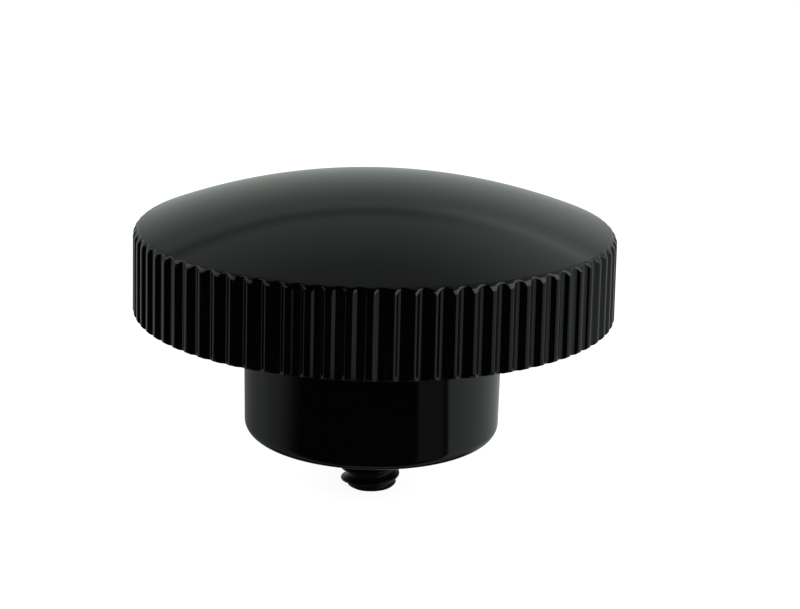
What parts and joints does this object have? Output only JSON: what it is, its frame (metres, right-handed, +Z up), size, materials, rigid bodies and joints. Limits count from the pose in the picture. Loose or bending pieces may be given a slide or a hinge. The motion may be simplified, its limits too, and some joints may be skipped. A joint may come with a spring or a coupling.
{
  "type": "knurled knob",
  "caption": "Round clamping knob with a shallow domed top, a fluted grip rim, a smooth hub and a short threaded stud below.",
  "frame": {"origin": "centre of the hub's flat seat, where the stud leaves it", "axes": "+Z up the axis to the dome, the stud points along -Z, a crest of the fluted rim lies on +X"},
  "size_m": [0.0508, 0.0508, 0.0336],
  "materials": {
    "knob_plastic": "glossy black moulded plastic",
    "stud_steel": "black oxide on steel"
  },
  "bodies": {
    "root": {"knob_body": "knob_plastic", "threaded_stud": "stud_steel"}
  },
  "joints": []
}
